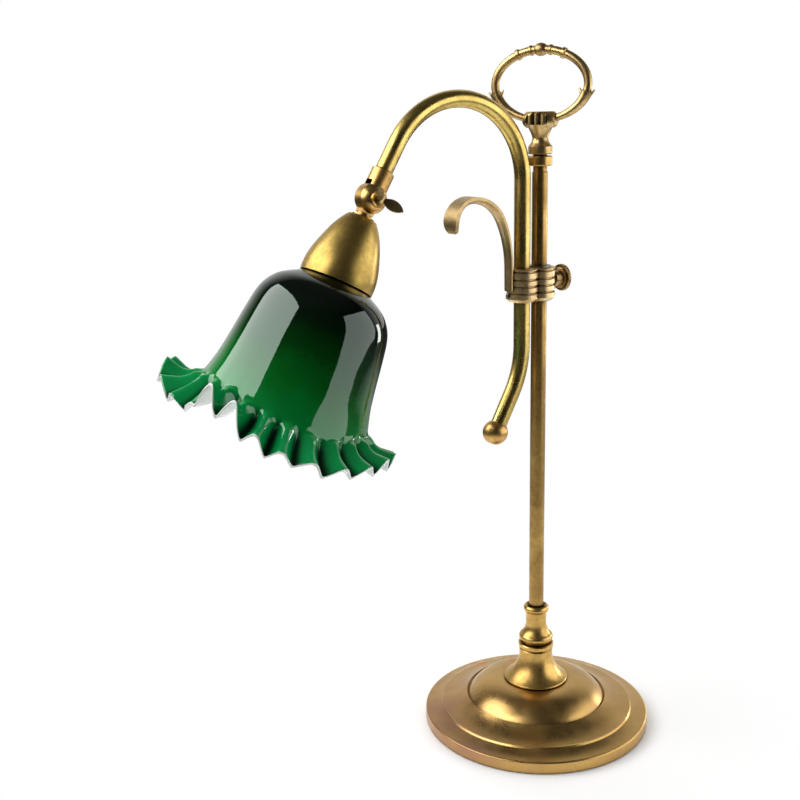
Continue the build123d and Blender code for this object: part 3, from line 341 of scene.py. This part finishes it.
def dress_metal():
    """Brass, lighter and yellower on the arm and clamp, browner on the stem and screws."""
    dress(["arm_tube"],
          brass("brass_arm", (0.76, 0.57, 0.17), (0.60, 0.42, 0.115), rough=(0.22, 0.36)))
    dress(["stem"], brass("brass_stem", (0.50, 0.32, 0.10), (0.27, 0.155, 0.045)))
    dress(["shade_cap"],
          brass("brass_cap", (0.60, 0.42, 0.115), (0.36, 0.235, 0.06), rough=(0.31, 0.44),
                groove=0.0003))
    dress(["knuckle_fork", "knuckle_tongue", "arm_ball"],
          brass("brass_knuckle", (0.72, 0.45, 0.15), (0.54, 0.31, 0.095)))
    dress(["pedestal", "stem_ferrule", "lock_collar"],
          brass("brass_turned", (0.74, 0.48, 0.145), (0.56, 0.34, 0.10)))
    dress(["clamp_body"],
          brass("brass_clamp", (0.95, 0.72, 0.38), (0.74, 0.53, 0.27), CAST_DIRT_AND_SHADE,
                rough=(0.24, 0.40), groove=0.0045))
    dress(["handle_yoke", "handle_bow"],
          brass("brass_cast", (0.74, 0.53, 0.23), (0.46, 0.30, 0.12), CAST_DIRT_AND_SHADE,
                rough=(0.26, 0.44)))
    dress(["wing_screw"], brass("brass_wing", (0.50, 0.36, 0.16), (0.34, 0.24, 0.11), CAST_DIRT_AND_SHADE))
    dress(["thumbscrew"],
          brass("brass_thumb", (0.52, 0.35, 0.15), (0.30, 0.20, 0.09), CAST_DIRT_AND_SHADE, groove=0.004))
    dress(["hook"],
          brass("brass_hook", (0.60, 0.43, 0.20), (0.44, 0.30, 0.14), CAST_DIRT_AND_SHADE,
                rough=(0.30, 0.46)))
    dress(["lampholder", "shade_ring"],
          brass("brass_dull", (0.62, 0.44, 0.20), (0.46, 0.32, 0.14), (0.12, 0.09, 0.05),
                rough=(0.3, 0.45)))
    dress(["base_plate"], base_material())
    dress(["slider_liner", "arm_set_screw", "base_washer", "base_nut", "tie_rod"],
          plain("steel_dark", (0.32, 0.31, 0.29), rough=0.35, metallic=1.0))


def dress_rest():
    """Ballast, felt, ceramic block and bulb."""
    dress(["base_weight"],
          plain("iron_rough", (0.07, 0.07, 0.07), rough=0.8, metallic=0.6, grain=500, depth=0.4))
    dress(["base_felt"],
          plain("felt_green", (0.03, 0.09, 0.05), rough=0.95, grain=1400, depth=0.6))
    dress(["lampholder_insert"],
          plain("ceramic_white", (0.80, 0.78, 0.72), rough=0.22, grain=200, depth=0.03))
    dress(["bulb_cap"], plain("bulb_metal", (0.72, 0.72, 0.73), rough=0.3, metallic=1.0))
    dress(["bulb_glass"],
          plain("bulb_frosted", (0.86, 0.86, 0.84), rough=0.28, grain=200, depth=0.02))


# Materials of the cased glass

def shade_green():
    """Green outer layer: painted shade makes it nearly black at the top and dark in the pleat valleys,
    painted light through the glass makes it bright at the frill.
    """
    material, tree, shader = new_material("glass_green")
    depth = add(tree, "ShaderNodeAttribute", attribute_name="depth")
    fold_shade = add(tree, "ShaderNodeAttribute", attribute_name="fold_shade")
    cloud = noise(tree, 40)
    shifted = add(tree, "ShaderNodeMath", operation="MULTIPLY_ADD")
    tree.links.new(cloud, shifted.inputs[0])
    shifted.inputs[1].default_value = 0.10
    tree.links.new(depth.outputs["Fac"], shifted.inputs[2])
    # Painted shade towards the top of the bell, painted light through the glass towards the frill.
    colour = ramp(tree, shifted.outputs[0], [
        (0.40, (0.0003, 0.0014, 0.0006)), (0.50, (0.0003, 0.0070, 0.0010)),
        (0.58, (0.0003, 0.0380, 0.0030)), (0.66, (0.0004, 0.1150, 0.0100)),
        (0.73, (0.0010, 0.1900, 0.0300)), (0.84, (0.0020, 0.2500, 0.0600)),
    ])
    # Painted shade darkens the colour in the pleat valleys.
    fold_shade_mask = ramp(tree, fold_shade.outputs["Fac"], [(0.10, 0.0), (0.85, 1.0)])
    colour = mix(tree, fold_shade_mask, (0.0004, 0.0060, 0.0020), colour)
    tree.links.new(colour, shader.inputs["Base Color"])
    shader.inputs["Roughness"].default_value = 0.045
    shader.inputs["IOR"].default_value = 1.68
    shader.inputs["Specular Tint"].default_value = (0.82, 1.0, 0.88, 1)
    # Painted shade in the pleat valleys: a dark matte shader takes over from the glossy glass there.
    painted_valley_shade = add(tree, "ShaderNodeBsdfDiffuse")
    painted_valley_shade.inputs["Color"].default_value = (0.0006, 0.008, 0.004, 1)
    blend = tree.nodes.new("ShaderNodeMixShader")
    glossy = ramp(tree, fold_shade.outputs["Fac"], [(0.12, 0.0), (0.62, 1.0)])
    tree.links.new(glossy, blend.inputs["Fac"])
    tree.links.new(painted_valley_shade.outputs["BSDF"], blend.inputs[1])
    tree.links.new(shader.outputs["BSDF"], blend.inputs[2])
    tree.links.new(blend.outputs["Shader"], tree.nodes["Material Output"].inputs["Surface"])
    bump(tree, shader, noise(tree, 120, 3), 0.04, 0.0008)
    return material


def shade_white():
    """White opal inner layer with a faint painted glow for light coming through the glass."""
    material, tree, shader = new_material("glass_white")
    cloud = ramp(tree, noise(tree, 60, 3), [(0.3, (0.60, 0.63, 0.60)), (0.7, (0.68, 0.70, 0.67))])
    tree.links.new(cloud, shader.inputs["Base Color"])
    shader.inputs["Roughness"].default_value = 0.16
    shader.inputs["Subsurface Weight"].default_value = 0.25
    shader.inputs["Subsurface Radius"].default_value = (0.004, 0.004, 0.004)
    # Painted glow: the inner white emits a little light of its own.
    shader.inputs["Emission Color"].default_value = (0.86, 1.0, 0.91, 1)
    shader.inputs["Emission Strength"].default_value = 0.13
    bump(tree, shader, noise(tree, 150, 3), 0.04, 0.0006)
    return material


# Frilled glass

def new_piece(name, points, faces, materials, face_material=None, smooth=True):
    """Mesh object in the shared frame from points in millimetres."""
    mesh = bpy.data.meshes.new(name)
    mesh.from_pydata([tuple(value * MM for value in point) for point in points], [], faces)
    for material in materials:
        mesh.materials.append(material)
    if face_material:
        mesh.polygons.foreach_set("material_index", face_material)
    mesh.polygons.foreach_set("use_smooth", [smooth] * len(faces))
    mesh.update()
    piece = bpy.data.objects.new(name, mesh)
    bpy.context.scene.collection.objects.link(piece)
    return piece


def hung(azimuth, radius, along):
    """Shared-frame place of a point on the tilted shade, along its axis from the hinge pin."""
    x, y, z = radius * cos(azimuth), radius * sin(azimuth), -along
    return (
        PIVOT[0] + x * cos(SHADE_TILT) + z * sin(SHADE_TILT),
        PIVOT[1] + y,
        PIVOT[2] - x * sin(SHADE_TILT) + z * cos(SHADE_TILT),
    )


def curve_through(stops, count):
    """Points evenly spread by parameter on a smooth curve through the stops."""
    padded = [stops[0], *stops, stops[-1]]
    result = []
    spans = len(stops) - 1
    for index in range(count):
        place = index / (count - 1) * spans
        span = min(int(place), spans - 1)
        t = place - span
        p0, p1, p2, p3 = padded[span:span + 4]
        result.append(tuple(
            0.5 * (2 * b + (c - a) * t + (2 * a - 5 * b + 4 * c - d) * t * t
                   + (3 * b - a - 3 * c + d) * t ** 3)
            for a, b, c, d in zip(p0, p1, p2, p3)
        ))
    return result


def flare(azimuth):
    """Lean of the frill from the shade's axis, sag of the mouth and frill length at an azimuth."""
    turn = (degrees(azimuth) + 180) % 360 - 180
    for before, after in zip(FLARE, FLARE[1:]):
        if turn <= after[0]:
            break
    share = (turn - before[0]) / (after[0] - before[0])
    share = share * share * (3 - 2 * share)
    lean, sag, length = (a + (b - a) * share for a, b in zip(before[1:], after[1:]))
    return radians(lean), sag, length


def ripple(waves, azimuth):
    """Sum of the waves at an azimuth."""
    return sum(strength * sin(count * azimuth + start) for count, strength, start in waves)


def pleat_wave(azimuth):
    """Height of the pleats at an azimuth, from -1 in a valley to 1 on a crest."""
    phase = PLEATS * azimuth + ripple(SPACING_WAVES, azimuth)
    phase += PLEAT_PINCH * sin(phase)
    return 2 * (cos(phase / 2) ** 2 + VALLEY_ROUNDING) ** CREST_POWER - 1


def frill_share(row):
    """How far a row lies down the frill: 0 on the bell and 1 at the rim."""
    return max(0.0, (row - BELL_STEPS + 1) / FRILL_STEPS)


def glass_line(bell, azimuth):
    """Outline of the glass before it is pleated: sagging bell, then the frill bending out."""
    lean, sag, length = flare(azimuth)
    line = []
    for radius, along in bell:
        low = max(0.0, (along - CAP_TOP - SAG_FROM) / (MOUTH_AT - SAG_FROM))
        line.append((radius, along + sag * low ** SAG_CURVE))
    radius, along = line[-1]
    for step in range(1, FRILL_STEPS + 1):
        share = step / FRILL_STEPS
        angle = MOUTH_LEAN + (lean - MOUTH_LEAN) * min(1.0, FRILL_BEND * share)
        radius += sin(angle) * length / FRILL_STEPS
        along += cos(angle) * length / FRILL_STEPS
        line.append((radius, along))
    return line


def glass_column(bell, azimuth):
    """Outer points, inner points and painted shade of the pleat valleys of the pleated glass at an
    azimuth.
    """
    line = glass_line(bell, azimuth)
    wave = pleat_wave(azimuth)
    swell = 1.0 + ripple(HEIGHT_WAVES, azimuth)
    outer, inner, fold_shade = [], [], []
    last = len(line) - 1
    for row, (radius, along) in enumerate(line):
        before = line[max(row - 1, 0)]
        after = line[min(row + 1, last)]
        slope = atan2(after[0] - before[0], after[1] - before[1])
        share = frill_share(row)
        foot = min(1.0, share / PLEAT_FOOT)
        rise = foot * foot * (3 - 2 * foot) * (PLEAT_AT_MOUTH + (1 - PLEAT_AT_MOUTH) * share)
        push = PLEAT_DEPTH * swell * wave * rise
        wall = GLASS_WALL * (1.0 - RIM_THINNING * share)
        r_out, a_out = radius + cos(slope) * push, along - sin(slope) * push
        r_in, a_in = r_out - cos(slope) * wall, a_out + sin(slope) * wall
        if row == 0:
            r_in, a_in = radius - wall, along + wall
        outer.append(hung(azimuth, r_out, a_out))
        inner.append(hung(azimuth, r_in, a_in))
        # Painted shade for the pleat valleys, full a little way down the frill.
        shaded = max(0.0, (VALLEY_SHADE - wave) / (1 + VALLEY_SHADE))
        fold_shade.append(1.0 - min(1.0, SHADE_GAIN * share) * shaded)
    return outer, inner, fold_shade


def glass_faces(columns, rows):
    """Faces of outer wall, inner wall, rim and neck, each with its layer: 0 green, 1 white."""
    first_inner = columns * rows
    first_hole = 2 * columns * rows
    faces, paint = [], []
    for column in range(columns):
        after = (column + 1) % columns
        for row in range(rows - 1):
            a, b = column * rows + row, after * rows + row
            faces.append((a, a + 1, b + 1, b))
            a, b = first_inner + a, first_inner + b
            faces.append((a, b, b + 1, a + 1))
            paint += [0, 1]
        a, b = column * rows + rows - 1, after * rows + rows - 1
        faces.append((a, first_inner + a, first_inner + b, b))
        a, b = column * rows, after * rows
        top_a, top_b = first_hole + column, first_hole + after
        low_a, low_b = top_a + columns, top_b + columns
        faces.append((a, b, top_b, top_a))
        faces.append((top_a, top_b, low_b, low_a))
        faces.append((low_a, low_b, first_inner + b, first_inner + a))
        paint += [1, 0, 1, 1]
    return faces, paint


def glass_shade():
    """Cased glass bell: smooth above, pleated and flared to a scalloped rim below."""
    bell = curve_through([(radius, CAP_TOP + depth) for radius, depth in BELL], BELL_STEPS)
    columns = PLEATS * PLEAT_STEPS
    rows = BELL_STEPS + FRILL_STEPS
    azimuths = [2 * pi * column / columns for column in range(columns)]
    outer, inner, fold_shade = [], [], []
    for azimuth in azimuths:
        outside, inside, fold_shades = glass_column(bell, azimuth)
        outer += outside
        inner += inside
        fold_shade += fold_shades
    hole = [hung(azimuth, GLASS_HOLE, CAP_TOP + height)
            for height in (GLASS_TOP, GLASS_TOP + GLASS_WALL) for azimuth in azimuths]
    faces, paint = glass_faces(columns, rows)
    piece = new_piece("frilled_glass", outer + inner + hole, faces,
                      [shade_green(), shade_white()], paint)
    depth = [row / (rows - 1) for row in range(rows)] * columns
    for name, values in (("depth", depth), ("fold_shade", fold_shade)):
        layer = piece.data.attributes.new(name, "FLOAT", "POINT")
        layer.data.foreach_set("value", values * 2 + [0.0] * len(hole))
    return piece


# Studio

def floor_material():
    """Pale floor with the lamp's shadow, white to the camera further out and dark to other rays."""
    material, tree, shader = new_material("floor_white")
    place = tree.nodes.new("ShaderNodeTexCoord")
    length = add(tree, "ShaderNodeVectorMath", operation="LENGTH")
    tree.links.new(place.outputs["Object"], length.inputs[0])
    start, end = FLOOR_WHITENS
    far = ramp(tree, length.outputs["Value"], [(start, 0.0), (end, 1.0)])
    rays = tree.nodes.new("ShaderNodeLightPath")
    seen = mix(tree, rays.outputs["Is Camera Ray"], 0.0, far)
    glow = add(tree, "ShaderNodeEmission", Strength=1.0)
    start, end = FLOOR_DARKENS
    pale = ramp(tree, length.outputs["Value"], [(start, FLOOR_PALE), (end, FLOOR_DARK)])
    tree.links.new(pale, shader.inputs["Base Color"])
    shader.inputs["Roughness"].default_value = 0.7
    shader.inputs["Specular IOR Level"].default_value = 0.1
    blend = tree.nodes.new("ShaderNodeMixShader")
    tree.links.new(seen, blend.inputs["Fac"])
    tree.links.new(shader.outputs["BSDF"], blend.inputs[1])
    tree.links.new(glow.outputs["Emission"], blend.inputs[2])
    tree.links.new(blend.outputs["Shader"], tree.nodes["Material Output"].inputs["Surface"])
    return material


def add_floor():
    """Large plane under the base."""
    half = FLOOR_HALF
    corners = [(-half, -half, 0), (half, -half, 0), (half, half, 0), (-half, half, 0)]
    floor = new_piece("studio_floor", corners, [(0, 1, 2, 3)], [floor_material()], smooth=False)


def world():
    """White to the camera; for everything else a dim studio with a white sweep behind."""
    studio = bpy.data.worlds.new("studio")
    bpy.context.scene.world = studio
    studio.use_nodes = True
    tree = studio.node_tree
    background = tree.nodes["Background"]
    place = tree.nodes.new("ShaderNodeTexCoord")
    parts = tree.nodes.new("ShaderNodeSeparateXYZ")
    tree.links.new(place.outputs["Generated"], parts.inputs[0])
    behind = add(tree, "ShaderNodeVectorMath", operation="DOT_PRODUCT")
    tree.links.new(place.outputs["Generated"], behind.inputs[0])
    away = radians(SWEEP_SIDE)
    behind.inputs[1].default_value = (cos(away), sin(away), 0.0)
    sweep = ramp(tree, behind.outputs["Value"], [(0.45, 0.0), (0.80, 1.0)])
    room = ramp(tree, parts.outputs["Z"],
                [(0.0, ROOM_LEVEL), (0.5, ROOM_LEVEL), (0.9, CEILING_LEVEL)])
    room = mix(tree, sweep, room, SWEEP_COLOUR)
    rays = tree.nodes.new("ShaderNodeLightPath")
    seen = mix(tree, rays.outputs["Is Camera Ray"], room, (1.0, 1.0, 1.0))
    tree.links.new(seen, background.inputs["Color"])
    background.inputs["Strength"].default_value = 1.0


def area_light(name, azimuth, elevation, distance, size, power):
    """Softbox aimed at the lamp; angles in degrees, distance and size in metres, power in watts."""
    data = bpy.data.lights.new(name, "AREA")
    data.shape = "RECTANGLE"
    data.size, data.size_y = size
    data.energy = power
    light = bpy.data.objects.new(name, data)
    turn, rise = radians(azimuth), radians(elevation)
    offset = Vector((cos(turn) * cos(rise), sin(turn) * cos(rise), sin(rise))) * distance
    light.location = Vector(LIGHT_AIM) * MM + offset
    light.rotation_euler = (-offset).to_track_quat("-Z", "Y").to_euler()
    bpy.context.scene.collection.objects.link(light)
    return light


def add_lights():
    """Softboxes left and right, a strip for the edges, and a wash that no surface mirrors."""
    area_light("left_softbox", VIEWER - 71, elevation=38, distance=1.3, size=(1.60, 0.95), power=20)
    area_light("right_softbox", VIEWER + 88, elevation=10, distance=1.3, size=(1.45, 1.1), power=9)
    area_light("edge_strip", VIEWER + 130, elevation=-5, distance=1.2, size=(0.20, 0.5), power=2.2)
    wash = area_light("floor_wash", SWEEP_SIDE, elevation=74, distance=2.2, size=(4.0, 3.0), power=40)
    wash.visible_glossy = False


def add_camera():
    """Camera at the photograph's standpoint."""
    data = bpy.data.cameras.new("photo_camera")
    data.sensor_width = SENSOR_WIDTH
    data.lens = FOCAL_PIXELS * SENSOR_WIDTH / PHOTO_PIXELS
    data.clip_start = 0.01
    camera = bpy.data.objects.new("photo_camera", data)
    turn = radians(CAMERA_TURN)
    heading = radians(90 - CAMERA_TURN + CAMERA_YAW)
    level = Vector((cos(heading), sin(heading), 0))
    right = Vector((sin(heading), -cos(heading), 0))
    pitch = radians(CAMERA_PITCH)
    ahead = level * cos(pitch) - Vector((0, 0, 1)) * sin(pitch)
    up = Vector((0, 0, 1)) * cos(pitch) + level * sin(pitch)
    roll = radians(CAMERA_ROLL)
    right, up = right * cos(roll) - up * sin(roll), up * cos(roll) + right * sin(roll)
    rotation = Matrix((right, up, -ahead)).transposed()
    camera.matrix_world = rotation.to_4x4()
    camera.location = (-CAMERA_DISTANCE * sin(turn) * MM, -CAMERA_DISTANCE * cos(turn) * MM,
                       CAMERA_HEIGHT * MM)
    bpy.context.scene.collection.objects.link(camera)
    bpy.context.scene.camera = camera


# The scene

dress_metal()
dress_rest()
shade = glass_shade()
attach(shade, "shade")
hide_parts("glass_shade")
add_floor()
world()
add_lights()
add_camera()
bpy.context.scene.view_settings.view_transform = "Standard"
